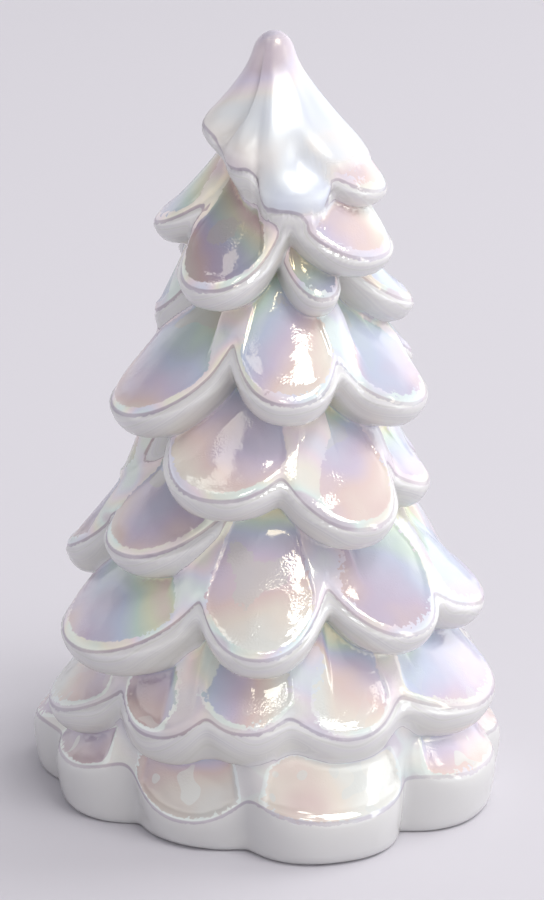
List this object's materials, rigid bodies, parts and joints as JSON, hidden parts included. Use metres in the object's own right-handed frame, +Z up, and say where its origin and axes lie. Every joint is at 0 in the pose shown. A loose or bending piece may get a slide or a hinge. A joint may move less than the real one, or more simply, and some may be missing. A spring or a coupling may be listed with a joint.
{
  "type": "christmas tree figurine",
  "caption": "Standing tabletop figurine of a conifer: tiers of overlapping scalloped boughs with rounded rims on a scalloped foot, pressed from glossy opal glass, hollow underneath.",
  "frame": {"origin": "middle of the outline, on the surface that the foot stands on", "axes": "+Z up along the trunk to the tip; -Y is the side that the picture shows"},
  "size_m": [0.1034, 0.0984, 0.165],
  "materials": {
    "opal_glass": "Opaque white opal glass, fire-polished to a high gloss, with a faint iridescent film on the facets that face upwards."
  },
  "bodies": {
    "root": {"tree_body": "opal_glass"}
  },
  "joints": []
}
